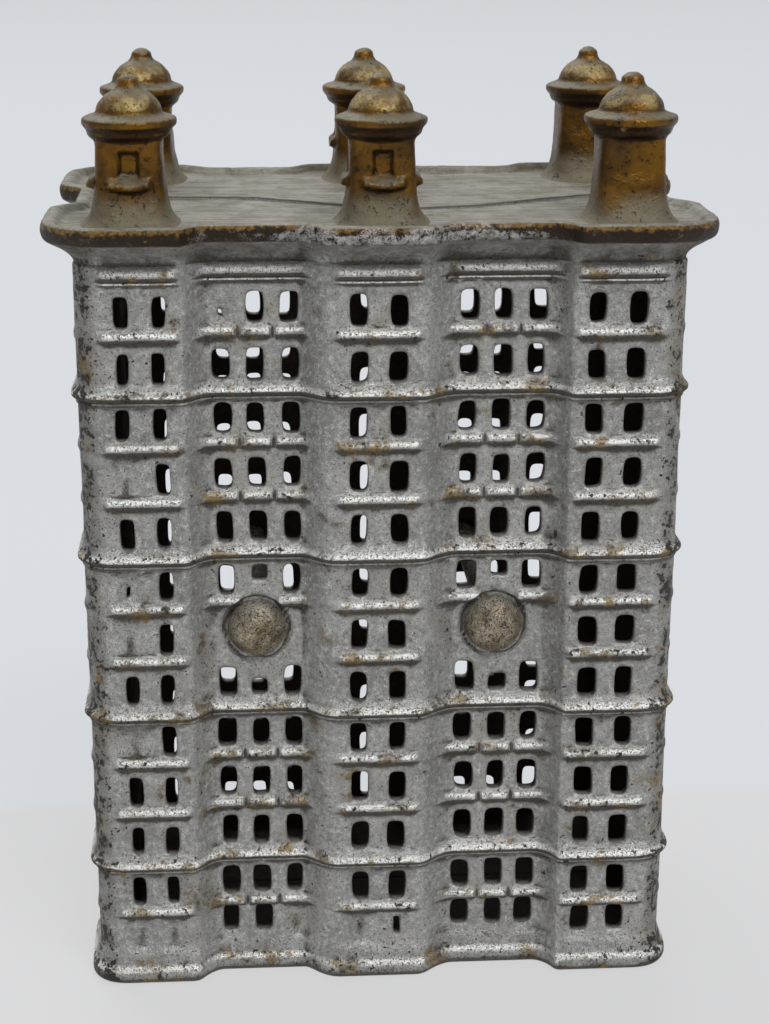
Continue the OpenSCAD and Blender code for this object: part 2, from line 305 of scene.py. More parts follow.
lines = [(z, g, "base") for z, g in BASE_ROLL]
for name, z, sill in STOREYS:
    lines += [(z + p, 0.0, "pane") for p in PANE_AT]
    if sill:
        lines += [(z - d, 0.0, "sill") for d, _ in SILL_ROLL]
lines += [(z + d, g, "belt") for z in BELTS for d, g in BELT_ROLL]
lines += [(z, 0.0, "bead") for z, _ in BEAD_ROLL]
lines.sort()
wall_rows = len(lines)
lines += [(z, g, "cove") for z, g in COVE] + [(z, g, "edge") for z, g in EDGE]
lines += [(z, g, "rim") for z, g in RIM]
ROW_Z = np.array([z for z, _, _ in lines])
ROW_G = np.array([g for _, g, _ in lines])
ROW_KIND = np.array([kind for _, _, kind in lines])
print("level lines:", len(lines), "closest pair:", round(np.diff(ROW_Z[:wall_rows]).min(), 2))

# %% [markdown]
# ## Windows
#
# The front has pairs of windows in three bays and rows of three in the two that stand back.
# Each real window is a little different, and some are choked by iron that ran into the sand.
# We draw seeded random sizes, then name the few odd ones, by storey, bay and place.

# %% Window list
# (storey, bay, place): the share of its width and height that is open, 0 where it is closed.
ODD_FRONT = {
    ("A1", -1, -1): (0.28, 0.22), ("B2", -2, -1): (0, 0), ("C1", -2, -1): (0.26, 0.32),
    ("C2", -2, -1): (0, 0), ("D1", -2, -1): (0, 0), ("E2", -2, -1): (0, 0),
    ("E2", -2, 1): (0, 0), ("E2", -1, 1): (0, 0), ("E2", 0, -1): (0, 0), ("E2", 0, 1): (0.4, 0.6),
}
BAY_WIDTH = {-2: 0.8, -1: 0.95, 0: 0.96, 1: 1.0, 2: 1.03}
# How far the window rows of the rear half sit above those of the front.
REAR_LIFT = {"A2": -0.4, "B1": 0.7, "B2": 1.75, "B3": 1.6, "C1": 0.7, "C3": 0.8, "D2": 0.3,
             "D3": 1.6, "E1": 0.7}
# A window is three cells of the cage wide and high. A bolt hole is wider.
CELLS, HOLE_CELLS = 3, 5


def nearest(values, target):
    """Which of the values lies nearest to the target."""
    return int(np.argmin(np.abs(np.asarray(values) - target)))


def windows(half):
    """Every window of one half: its columns and rows, its middle, half sizes and roundness."""
    odd = ODD_FRONT if half == "front" else {}
    found = []
    right = len(LEG) - len(side_t)
    for name, z, _ in STOREYS:
        row = nearest(ROW_Z[:wall_rows], z - WIN_H / 2)
        spots = [(2, bay, k, bay * BAY + k * (TRIPLE if abs(bay) == 1 else PAIR))
                 for bay in range(-2, 3) for k in ((-1, 0, 1) if abs(bay) == 1 else (-1, 1))]
        spots += [(leg, 0, k, -y) for leg in (0, 4)
                  for k, y in enumerate((SIDE_PAIR + PAIR, SIDE_PAIR - PAIR, SIDE_LONE))]
        for leg, bay, k, middle in spots:
            wide, tall = rng.uniform(0.93, 1.08), rng.uniform(0.98, 1.07)
            shift, lift = rng.uniform(-0.2, 0.2), rng.uniform(-0.15, 0.15)
            roundness, lean = rng.uniform(0.1, 0.45), rng.uniform(-0.1, 0.1)
            if leg == 2 and abs(bay) == 1 and name == "C2":
                continue
            if leg == 2 and abs(bay) == 1 and k == 0 and name in ("C1", "C3"):
                tall, lift = 0.55, 1.15 if name == "C1" else -1.1
            if leg == 2:
                wide *= BAY_WIDTH[bay]
                start = FRONT_START + nearest(front_t, middle - WIN_W / 2)
            elif leg == 0:
                start = nearest(side_t, middle + WIN_W / 2)
            else:
                start = right + nearest(side_t[::-1], middle - WIN_W / 2)
            if leg == 2 and (name, bay, k) in odd:
                open_w, open_h = odd[(name, bay, k)]
                wide, tall, lift = wide * open_w, tall * open_h, lift - 1.2 * (1 - open_h)
            if half == "rear":
                lift += REAR_LIFT.get(name, 0.0)
            found.append((start, row, CELLS, middle + shift, z + lift, wide * WIN_W / 2,
                          tall * WIN_H / 2, roundness, lean))
    return found


def bolt_holes(a, roundness, half):
    """The holes for the bolts, which take the place of the middle windows of storey C2."""
    row = nearest(ROW_Z[:wall_rows], HEIGHT_OF["C2"] - WIN_H / 2)
    out = []
    for sx, x in zip((-1, 1), BOLT_X):
        start = FRONT_START + nearest(front_t, sx * BAY - TRIPLE_SILL)
        at = np.linspace(-FRONT_END, FRONT_END, 951)
        middle = np.interp(x, at + drift(at, half), at)
        out.append((start, row, HOLE_CELLS, middle, BOLT_Z, a, a, roundness, 0.0))
    return out


print("windows in one half:", len(windows("rear")))

# %% [markdown]
# ## Building a casting
#
# A small class collects the corner points and faces of a cage. The outer skin is a grid of
# upright and level lines. An inner skin follows it one wall thickness further in, and short
# tunnels join the two around every window. Level sheets close the floor, the ceiling and the
# roof. They end at the joint, where narrow faces join the inner and the outer skin.

# %% Cage class
TRAITS = ("trim", "roof", "edge", "inside", "joint", "crack")


class Cage:
    """Points, faces and painted traits of one cage mesh, in millimetres."""

    def __init__(self):
        self.points, self.traits, self.faces, self.joint_faces = [], [], [], []
        self.count = 0

    def add(self, x, y, z, **traits):
        shape = np.broadcast(x, y, z).shape
        grid = [np.broadcast_to(v, shape).ravel() for v in (x, y, z)]
        self.points.append(np.stack(grid, 1))
        values = [np.broadcast_to(traits.get(k, 0.0), shape).ravel() for k in TRAITS]
        self.traits.append(np.stack(values, 1))
        index = self.count + np.arange(len(self.points[-1])).reshape(shape)
        self.count += index.size
        return index

    def quads(self, grid, keep=None):
        a, b, c, d = grid[:-1, :-1], grid[1:, :-1], grid[1:, 1:], grid[:-1, 1:]
        cells = np.stack([a, b, c, d], -1)
        cells = cells[keep] if keep is not None else cells.reshape(-1, 4)
        self.faces += cells.tolist()

    def strip(self, one, two, closed=False, joint=False):
        one, two = list(one), list(two)
        if closed:
            one, two = one + one[:1], two + two[:1]
        for a, b, c, d in zip(one, one[1:], two[1:], two):
            self.face([a, b, c, d], joint)

    def face(self, corners, joint=False):
        corners = [int(c) for k, c in enumerate(corners) if c != corners[k - 1]]
        if joint:
            self.joint_faces.append(len(self.faces))
        self.faces.append(corners)


def ring_of(grid, i, j, n, m):
    """The indices round a block of a grid, n cells wide and m cells high, going round once."""
    foot = [grid[i + k, j] for k in range(n)]
    right = [grid[i + n, j + k] for k in range(m)]
    top = [grid[i + n - k, j + m] for k in range(n)]
    return foot + right + top + [grid[i, j + m - k] for k in range(m)]


print("traits painted on the cages:", TRAITS)

# %% What stands out of the walls
COLS, ROWS = len(T), len(lines)
KEEP = np.array([0] + [j for j in range(wall_rows) if ROW_KIND[j] == "pane"] + [wall_rows])
LAST = ROWS - 1
NEAR = 0.05           # slack when a line is matched to the end of a sill
PANEL = 0.35          # how far the panel round a pair of windows lies back
THIN_SILL = 0.85      # the sills of a row of three, as a share of the full ones
FLAT_SILL = 0.3       # and those of the side walls


def raised():
    """How far sills, beads and panels stand out of the wall, and how much each is a trim."""
    g, trim = np.zeros((COLS, ROWS)), np.zeros((COLS, ROWS))
    front = LEG == 2
    for bay in range(-2, 3):
        off = T - bay * BAY
        triple = abs(bay) == 1
        if triple:
            long = [front & (np.abs(off - m) < TRIPLE_SILL + NEAR) for m in (-TRIPLE, 0, TRIPLE)]
            bead = front & (np.abs(off) < TRIPLE + TRIPLE_SILL + NEAR)
        else:
            long = [front & (np.abs(off) < PAIR_SILL + NEAR)]
            bead = front & (np.abs(off) < PAIR_SILL + 1.0)
            g[np.ix_(long[0], np.isin(ROW_KIND, ("pane", "sill")))] -= PANEL
        for name, z, sill in STOREYS:
            for k, cols in enumerate(long):
                if not sill or (triple and (name == "C2" or (name == "C1" and k == 1))):
                    continue
                for d, out in SILL_ROLL:
                    j = nearest(ROW_Z[:wall_rows], z - d)
                    g[cols, j] += out * (THIN_SILL if triple else 1.0)
                    trim[cols, j] = np.maximum(trim[cols, j], min(1, out * 1.6))
        for z, out in BEAD_ROLL:
            j = nearest(ROW_Z[:wall_rows], z)
            g[bead, j] += out
            trim[bead, j] = min(1, out * 1.6)
    side = (LEG == 0) | (LEG == 4)
    cols = side & (np.abs(-T - SIDE_PAIR) < PAIR_SILL + NEAR)
    for name, z, sill in STOREYS:
        for d, out in SILL_ROLL if sill else ():
            j = nearest(ROW_Z[:wall_rows], z - d)
            g[cols, j] += out * FLAT_SILL
            trim[cols, j] = min(1, out * 0.5)
    for kind in ("belt", "base"):
        trim[:, ROW_KIND == kind] = np.clip(ROW_G[ROW_KIND == kind], 0, 1)
    return g, trim


print("rows kept on the inner skin:", len(KEEP))

# %% Skins of a casting
BLIND = 0.42          # a closed window's half width and height, as shares of a full one's
BLIND_RIM, BLIND_PANE = 0.25, 0.45
RIM_DEEP = 0.12       # the edge of an open window lies this far back
TAPER_W, TAPER_H = 0.94, 0.96
BELT_CORNER, BELT_SIDE = 0.8, 0.7


def skins(cage, half, hole):
    """The outer and inner skins with their windows. Gives back both grids of indices."""
    lift_g, trim = raised()
    tt, zz = np.repeat(T[:, None], ROWS, 1), np.repeat(ROW_Z[None], COLS, 0)
    turned = np.select([LEG == 2, (LEG == 1) | (LEG == 3)], [1.0, BELT_CORNER], BELT_SIDE)[:, None]
    gg = np.where(ROW_KIND == "belt", ROW_G * turned, ROW_G[None]) + lift_g
    ti, zi = tt[:, KEEP].copy(), zz[:, KEEP].copy()
    zi[:, 0], zi[:, -1] = FLOOR, CEILING
    open_out = np.ones((COLS - 1, ROWS - 1), bool)
    open_in = np.ones((COLS - 1, len(KEEP) - 1), bool)
    holes = []
    for i, j, n, middle, z, a, b, roundness, lean in windows(half) + hole:
        jk = int(np.nonzero(KEEP == j)[0][0])
        block = np.ix_(range(i, i + n + 1), range(j, j + CELLS + 1))
        base = tt[block]
        p = 2 * (base - base.mean()) / np.ptp(base)
        q = np.array([-1, -1 / 3, 1 / 3, 1])[None] * np.ones_like(p)
        pr = p * np.sqrt(1 - roundness * q * q / 2)
        qr = q * np.sqrt(1 - roundness * p * p / 2)
        closed = a < 0.1
        aa, bb = (WIN_W * BLIND, WIN_H * BLIND) if closed else (a, b)
        tt[block] = middle + aa * pr + lean * qr
        zz[block] = z + bb * qr + lean * pr
        if closed:
            gg[block] -= BLIND_RIM
            gg[i + 1:i + n, j + 1:j + CELLS] -= BLIND_PANE
            continue
        gg[block] -= RIM_DEEP
        inner = np.ix_(range(i, i + n + 1), range(jk, jk + CELLS + 1))
        ti[inner] = middle + TAPER_W * a * pr + lean * qr
        zi[inner] = z + TAPER_H * b * qr + lean * pr
        open_out[i:i + n, j:j + CELLS] = False
        open_in[i:i + n, jk:jk + CELLS] = False
        holes.append((i, j, jk, n))
    x, y = place(LEG[:, None], tt, gg, half)
    kinds = ROW_KIND[None]
    outer = cage.add(x, y, zz, trim=trim, roof=(kinds == "rim") * 1.0,
                     edge=(kinds == "edge") * 1.0)
    x, y = place(LEG[:, None], ti, -WALL, half)
    inner = cage.add(x, y, zi, inside=1.0)
    cage.quads(outer, open_out)
    cage.quads(inner, open_in)
    for i, j, jk, n in holes:
        rings = [ring_of(outer, i, j, n, CELLS)]
        cols, rows = (ring_of(index, i, j, n, CELLS) for index in np.indices((COLS, ROWS)))
        # The tunnel rings darken with depth into the window: painted shade.
        for depth, dark_and_shade in ((0.4, 0.35), (WALL - 0.35, 1.0)):
            g = gg[cols, rows] - depth if depth < 1 else np.full(len(cols), -depth)
            x, y = place(LEG[cols], tt[cols, rows], g, half)
            rings.append(cage.add(x, y, zz[cols, rows], inside=dark_and_shade))
        rings.append(ring_of(inner, i, jk, n, CELLS))
        for one, two in zip(rings, rings[1:]):
            cage.strip(one, two, closed=True)
    return outer, inner


print("a window's tunnel narrows to %.0f%% by %.0f%%" % (100 * TAPER_W, 100 * TAPER_H))

# %% [markdown]
# A level sheet starts at a row of the wall and steps inwards, over a frame that lies one
# corner radius inside, to a middle patch whose last row is the joint. The coin slot is cut in
# the roof of the rear half by leaving out the cells it covers, after their lines have been
# drawn to its edges.

# %% Level sheets
SLOT_W, SLOT_LEN = 4.8, 26.0
POST_Y, FOOT_R = HALF_D - 8.2, 7.5
SLOT_MID = (POST_Y - FOOT_R - float(bow(0.0))) / 2
SLOT = (-SLOT_MID - SLOT_LEN / 2, SLOT_LEN / 2 - SLOT_MID)
WOBBLE, WOBBLE_END = 0.35, 44
LIP_REAR, LIP_FRONT, LIP_FOOT = 0.75, 0.2, 0.15


def sheet(cage, rim, z, way=0, slot=False, dome=0.0, **traits):
    """A level sheet. Gives back the row of points at the joint and the ring of the slot."""
    start = np.concatenate(cage.points)[rim]
    frame_x = np.select([LEG == 2, LEG < 2], [T, -FRONT_END], FRONT_END)
    frame_y = np.where((LEG == 0) | (LEG == 4), T, SIDE_END)
    rings = [rim]
    for v in (0.12, 0.4, 0.7, 1.0):
        x = start[:, 0] * (1 - v) + frame_x * v
        y = start[:, 1] * (1 - v) + frame_y * v
        rings.append(cage.add(x, y, z + dome * v, **traits))
    rings = np.stack(rings, 1)
    cage.quads(rings)
    px, py = np.array(front_t), np.array(side_t[::-1])
    along = np.stack([px, px * 0, px * 0], 1)
    wobble = WOBBLE * noise(along, 3.2, 5.5) * (abs(way) * (np.abs(px) < WOBBLE_END))
    joint = -way * (bow(px) + wobble) + JOINT_Y
    stretch = (joint - SIDE_END) / (JOINT_Y - SIDE_END)
    y = SIDE_END + (py[None] - SIDE_END) * stretch[:, None]
    x = np.repeat(px[:, None], len(py), 1)
    keep, ring = np.ones((len(px) - 1, len(py) - 1), bool), None
    if slot:
        i0, i1 = nearest(px, -PAIR + PANE[2]), nearest(px, PAIR + PANE[1])
        middle = y[nearest(px, 0)].copy()
        k0, k1 = nearest(middle, SLOT[0]), nearest(middle, SLOT[1])
        x[i0:i1 + 1, 1:] *= SLOT_W / 2 / px[i1]
        for i in range(i0, i1 + 1):
            y[i] = np.interp(middle, [middle[0], middle[k0], middle[k1], middle[-1]],
                             [y[i, 0], SLOT[0], SLOT[1], y[i, -1]])
        keep[i0:i1, k0:k1] = False
    lip = np.zeros((len(px), len(py)))
    if dome:
        crumbs = 0.5 + 0.5 * noise(along, 1.6, 8.5)
        lip[:, -1] = crumbs * (LIP_REAR if slot else LIP_FRONT)
        lip[:, -2] = LIP_FOOT
        lip[0], lip[-1] = 0, 0
        crack = traits["crack"] = np.zeros(lip.shape)
        crack[:, -1], crack[:, -2] = 1.0, 0.45
    patch = cage.add(x, y, z + dome + lip, **traits)
    cage.quads(patch, keep)
    if slot:
        ring = ring_of(patch, i0, k0, i1 - i0, k1 - k0)
    row = list(rings[0]) + list(patch[1:-1, -1]) + list(rings[-1][::-1])
    return row, ring


def close_joint(cage, outer, inner, rows):
    """The narrow faces at the joint, between the outer and the inner skin."""
    deck, ceiling, floor, foot = rows
    anchors = [0, *KEEP[1:-1], wall_rows]
    half = (LAST - wall_rows) // 2
    for i in (0, COLS - 1):
        for k, (a, b) in enumerate(zip(anchors, anchors[1:])):
            cage.face([*outer[i, a:b + 1], inner[i, k + 1], inner[i, k]], joint=True)
        cage.strip(outer[i, wall_rows:LAST - half + 1], outer[i, half + wall_rows:LAST + 1][::-1],
                   joint=True)
        cage.face([outer[i, wall_rows], inner[i, -1], outer[i, LAST]], joint=True)
    cage.strip(deck, ceiling, joint=True)
    cage.strip(floor, foot, joint=True)


print("cove, edge and rim rows:", ROWS - wall_rows, "slot from %.1f to %.1f" % SLOT)

# %% [markdown]
# With the cage closed, Blender's subdivision surface rounds it once. Then we move every point
# of the result: round seats for the bolt heads are pressed in, and noise at three sizes gives
# waves, lumps and grain. The mesh itself carries this, so it isn't left to a bump map, which
# adds only the finest grain.

# %% From cage to mesh
def cage_mesh(cage, name, mirrored):
    """A Blender mesh of the cage, welded, with its joint edges kept crisp."""
    points, traits = np.concatenate(cage.points), np.concatenate(cage.traits)
    if mirrored:
        points = points * (1, -1, 1)
    mesh = bpy.data.meshes.new(name)
    mesh.from_pydata((points * MM).tolist(), [], cage.faces)
    for k, trait in enumerate(TRAITS):
        mesh.attributes.new(trait, "FLOAT", "POINT").data.foreach_set("value", traits[:, k])
    bm = bmesh.new()
    bm.from_mesh(mesh)
    bm.faces.ensure_lookup_table()
    joint = bm.verts.layers.float["joint"]
    crease = bm.edges.layers.float.new("crease_edge")
    tagged = {bm.faces[k] for k in cage.joint_faces}
    for face in tagged:
        for vert in face.verts:
            vert[joint] = 1.0
        for edge in face.edges:
            if sum(f in tagged for f in edge.link_faces) == 1:
                edge[crease] = 0.85
    bmesh.ops.remove_doubles(bm, verts=bm.verts, dist=2e-6)
    bmesh.ops.recalc_face_normals(bm, faces=bm.faces)
    loose = sum(1 for e in bm.edges if len(e.link_faces) != 2)
    print(name, "cage:", len(bm.faces), "faces,", loose, "open edges")
    bm.to_mesh(mesh)
    bm.free()
    return mesh


def new_object(name, data):
    """A new object in the scene, for a mesh, a lamp or a camera."""
    thing = bpy.data.objects.new(name, data)
    bpy.context.scene.collection.objects.link(thing)
    return thing


def smooth_mesh(name, points, faces, turn=False):
    """A smooth mesh of points in millimetres. turn makes all its faces look outwards."""
    mesh = bpy.data.meshes.new(name)
    mesh.from_pydata((points * MM).tolist(), [], faces)
    if turn:
        bm = bmesh.new()
        bm.from_mesh(mesh)
        bmesh.ops.recalc_face_normals(bm, faces=bm.faces)
        bm.to_mesh(mesh)
        bm.free()
    mesh.polygons.foreach_set("use_smooth", np.ones(len(mesh.polygons), bool))
    mesh.update()
    return mesh


def subdivided(thing):
    """The thing with a subdivision surface worked into its mesh."""
    modifier = thing.modifiers.new("round", "SUBSURF")
    modifier.levels = modifier.render_levels = 1
    modifier.boundary_smooth = "ALL"
    graph = bpy.context.evaluated_depsgraph_get()
    final = bpy.data.meshes.new_from_object(thing.evaluated_get(graph))
    thing.modifiers.clear()
    thing.data = final
    final.polygons.foreach_set("use_smooth", np.ones(len(final.polygons), bool))
    return thing


def points_of(mesh, what="co"):
    """The places of a mesh's points, or their normals, as an array."""
    out = np.empty(len(mesh.vertices) * 3)
    (mesh.vertices if what == "co" else mesh.vertex_normals).foreach_get(
        "co" if what == "co" else "vector", out)
    return out.reshape(-1, 3)


def trait_of(mesh, name):
    """A painted trait of a mesh, one number for each point."""
    out = np.empty(len(mesh.vertices))
    mesh.attributes[name].data.foreach_get("value", out)
    return out


def set_points(mesh, points):
    """Moves a mesh's points to places in millimetres."""
    mesh.vertices.foreach_set("co", (points * MM).ravel())
    mesh.update()


# %% Seats and sand grain
SQUEEZE, SHARP = 0.9, 0.12      # lines this near to a seat's edge close up into a sharp step
PAD = 1.8


def press_seats(points, inside, seat_r, facing):
    """Round seats on the outside for the heads or nuts, and pads behind them on the inside."""
    for x in BOLT_X:
        dx, dz = points[:, 0] - x, points[:, 2] - BOLT_Z
        r = np.hypot(dx, dz) + 1e-9
        skin = facing * points[:, 1] > HALF_D - RECESS - 1.6
        off = np.abs(r - seat_r) / SQUEEZE
        near = skin & (off < 1)
        goal = seat_r + np.where(r < seat_r, -1, 1) * (0.07 + 0.83 * off ** 1.8)
        for axis, d in ((0, dx), (2, dz)):
            points[near, axis] += (d / r * (goal - r))[near]
        r = np.where(near, goal, r)
        seat = skin & (inside < 0.3)
        points[seat, 1] -= facing * SEAT_DEEP * (1 - smooth(r, seat_r - SHARP, seat_r + SHARP))[seat]
        back = (inside > 0.9) & (facing * points[:, 1] > HALF_D - RECESS - WALL - 0.5)
        points[back, 1] -= facing * PAD * (1 - smooth(r, seat_r + 0.5, seat_r + 1.4))[back]
    return points


def grain(points, normals, hold, waves=0.10, lumps=0.06, sand=0.035):
    """Moves the points in and out as sand casting does. hold is 1 where they must stay."""
    d = waves * noise(points, 9.0) + lumps * noise(points, 2.4, 7.3)
    d += sand * noise(points, 0.9, 3.1)
    return points + normals * (d * (1 - hold))[:, None]


def casting(name, node, body, hole, mirrored, seat_r):
    """One casting without its posts, finished and riding on its body."""
    cage = Cage()
    way = -1 if mirrored else 1
    outer, inner = skins(cage, body, hole)
    deck, slot_top = sheet(cage, outer[:, LAST], DECK, way, mirrored, 0.25, roof=1.0)
    ceiling, slot_foot = sheet(cage, inner[:, -1], CEILING, way, mirrored, inside=1.0)
    floor, _ = sheet(cage, inner[:, 0], FLOOR, inside=1.0)
    foot, _ = sheet(cage, outer[:, 0], 0.0, inside=0.6)
    if mirrored:
        cage.strip(slot_top, slot_foot, closed=True)
    close_joint(cage, outer, inner, (deck, ceiling, floor, foot))
    thing = subdivided(new_object(name, cage_mesh(cage, name, mirrored)))
    mesh = thing.data
    points, normals = points_of(mesh) / MM, points_of(mesh, "normal")
    inside, joint = trait_of(mesh, "inside"), trait_of(mesh, "joint")
    hold = np.clip(joint + (points[:, 2] < 0.6), 0, 1)
    points = press_seats(points, inside, seat_r, 1 if mirrored else -1)
    points = grain(points, normals, hold)
    points = np.clip(points, np.array(cad_low) / MM, np.array(cad_high) / MM)
    set_points(mesh, points)
    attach(thing, body)
    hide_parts(node)
    print(name, "mesh:", len(mesh.polygons), "faces")
    return thing


# %% Front and rear castings
front_casting = casting("front_walls", "front_half", "front",
                        bolt_holes(2.9, 0.05, "front"), False, HEAD_SEAT)
rear_casting = casting("rear_walls", "rear_half", "rear",
                       bolt_holes(2.7, 1.0, "rear"), True, NUT_SEAT)

# %% [markdown]
# ## Roof posts
#
# Six posts stand on the roof, three cast with each half. A post has a foot that flares into
# the roof, a shaft with rounded corners, and a round cap under a bell-shaped dome and a knob.
# On the outer faces the shaft has a blind window over a bowed sill. We could turn the cap and
# extrude the shaft, but one loft of many rings, each a little less square than the one below,
# gives the soft change from one to the other that a casting has.

# %% Post profile
# Height above the roof's edge, half width, squareness (2 is round, more is squarer).
PROFILE = np.array([
    (-1.6, 8.9, 2.6), (-1.2, 8.5, 2.7), (-0.7, 7.85, 2.8), (0.1, 7.1, 3.0), (1.2, 6.6, 3.6),
    (2.6, 6.2, 4.4), (4.2, 5.95, 5.0), (8.0, 5.7, 5.5), (11.8, 5.6, 5.5), (13.0, 5.65, 4.6),
    (13.25, 5.75, 3.6), (13.5, 6.55, 2.8), (14.0, 6.95, 2.4), (14.6, 7.1, 2.2),
    (14.9, 7.2, 2.1), (15.15, 7.75, 2.0), (15.7, 7.98, 2.0), (16.4, 7.95, 2.0), (16.8, 7.6, 2.0),
    (17.0, 6.6, 2.0), (17.25, 5.6, 2.0), (17.8, 5.55, 2.0), (18.6, 5.35, 2.0), (19.6, 4.75, 2.0),
    (20.4, 3.95, 2.0), (20.95, 3.1, 2.0), (21.35, 2.45, 2.0), (21.7, 2.1, 2.0), (22.2, 1.95, 2.0),
    (22.8, 1.85, 2.0), (23.25, 1.5, 2.0), (23.55, 0.95, 2.0), (23.68, 0.4, 2.0)])
ROUND = 112
POST_X = HALF_W - 10.0
NICHE_DEEP, SILL_OUT = 1.4, 1.35


def loft_rings():
    """Profile rows close enough to carry the blind window, with a smooth run between them."""
    h = [PROFILE[0, 0]]
    for a, b in zip(PROFILE[:, 0], PROFILE[1:, 0]):
        n = max(1, math.ceil((b - a) / 0.4))
        h += [a + (b - a) * k / n for k in range(1, n + 1)]
    h = np.array(h)
    wide, square = (np.interp(h, PROFILE[:, 0], PROFILE[:, k]) for k in (1, 2))
    for _ in range(2):
        wide[1:-1] = (wide[:-2] + 2 * wide[1:-1] + wide[2:]) / 4
    return h, wide, square


def ring_quads(n, m, closed=False):
    """The faces between n rings of m points. closed joins the last ring to the first."""
    return [(j * m + i, j * m + (i + 1) % m, (j + 1) % n * m + (i + 1) % m, (j + 1) % n * m + i)
            for j in range(n if closed else n - 1) for i in range(m)]


def post_mesh(name, cx, cy, faces, lean):
    """One post. faces lists (angle, strength) of its blind windows."""
    h, wide, square = loft_rings()
    a = np.linspace(0, 2 * math.pi, ROUND, endpoint=False)
    c, s = np.cos(a)[None], np.sin(a)[None]
    n = square[:, None]
    r = wide[:, None] / (np.abs(c) ** n + np.abs(s) ** n) ** (1 / n)
    x, y, z = r * c, r * s, np.repeat(h[:, None], ROUND, 1)
    for angle, strength in faces:
        ux, uy = math.cos(angle), math.sin(angle)
        out = x * ux + y * uy
        u = -x * uy + y * ux
        on = (out > 3.0) * strength
        niche = smooth(-np.abs(u), -2.0, -1.5) * smooth(z, 7.0, 7.5) * (1 - smooth(z, 11.1, 11.6))
        low = 4.75 + 0.05 * u * u
        sill = smooth(-np.abs(u), -3.9, -3.2) * smooth(z, low, low + 0.45)
        sill = sill * (1 - smooth(z, low + 1.1, low + 2.1))
        push = on * (SILL_OUT * sill - NICHE_DEEP * niche)
        x, y = x + ux * push, y + uy * push
    points = np.stack([x + cx + lean[0] * z / 20, y + cy + lean[1] * z / 20, z + ROOF_Z], -1)
    flat = points.reshape(-1, 3)
    tip = np.array([[cx + lean[0], cy + lean[1], ROOF_Z + POST_H]])
    rows = len(h)
    faces_out = ring_quads(rows, ROUND)
    top = (rows - 1) * ROUND
    faces_out += [(top + i, top + (i + 1) % ROUND, rows * ROUND) for i in range(ROUND)]
    faces_out.append(tuple(range(ROUND - 1, -1, -1)))
    mesh = smooth_mesh(name, np.concatenate([flat, tip]), faces_out)
    moved = grain(points_of(mesh) / MM, points_of(mesh, "normal"), 0.0, 0.16, 0.10, 0.03)
    moved[:, 2] = np.minimum(moved[:, 2], ROOF_Z + POST_H)
    set_points(mesh, moved)
    return mesh


def posts(name, body, sy, strengths):
    """The three posts of one half, joined in one piece."""
    bm = bmesh.new()
    for sx, (out, side) in zip((-1, 0, 1), strengths):
        lean = rng.uniform(-0.25, 0.25, 2)
        faces = [(sy * math.pi / 2, out)]
        faces += [(math.pi, side)] if sx < 1 else []
        faces += [(0.0, side)] if sx > -1 else []
        bm.from_mesh(post_mesh(name, sx * POST_X, sy * POST_Y, faces, lean))
    mesh = bpy.data.meshes.new(name)
    bm.to_mesh(mesh)
    bm.free()
    thing = new_object(name, mesh)
    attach(thing, body)
    print(name, len(mesh.polygons), "faces")
    return thing


front_posts = posts("front_posts", "front", -1, ((1.0, 1.0), (0.9, 0.8), (0.12, 0.3)))
rear_posts = posts("rear_posts", "rear", 1, ((1.0, 0.9), (1.0, 0.7), (1.0, 0.9)))

# %% [markdown]
# ## Bolts and nuts
#
# The heads are plain domes in round seats. A square neck under the head keeps the bolt from
# turning in the square hole of the front casting. The thread is a real helix, because the
# bolts can be drawn out and seen. A loft of rings makes it: each ring's radius follows the
# turn of the thread at its place.

# %% Bolt
THREAD_PITCH = 1.1
HEAD_H, BOLT_SIDES, NUT_SIDES = 4.4, 64, 96
SEAT_FACE = HALF_D - RECESS - SEAT_DEEP
NECK_END, THREAD_START = -SEAT_FACE - 0.2 + 2.4, 10.0


def lofted(rings, name):
    """A closed mesh through rings of equal length, with a point at both ends."""
    rings = np.array(rings)
    n, m = rings.shape[:2]
    points = np.concatenate([rings.reshape(-1, 3), rings[:1].mean(1), rings[-1:].mean(1)])
    faces = ring_quads(n, m)
    faces += [(i, n * m, (i + 1) % m) for i in range(m)]
    last = (n - 1) * m
    faces += [(last + i, last + (i + 1) % m, n * m + 1) for i in range(m)]
    return smooth_mesh(name, points, faces, turn=True)


def ring_at(x0, y, r, a):
    """A ring round the axis of a bolt at x0: the radius r at each of the angles a."""
    return np.stack([x0 + r * np.cos(a), np.full(len(a), y), BOLT_Z + r * np.sin(a)], 1)


def thread_phase(y, a):
    """Where a thread's turn stands at y, from 0 to 1, at each of the angles a."""
    return (y / THREAD_PITCH - a / (2 * math.pi)) % 1


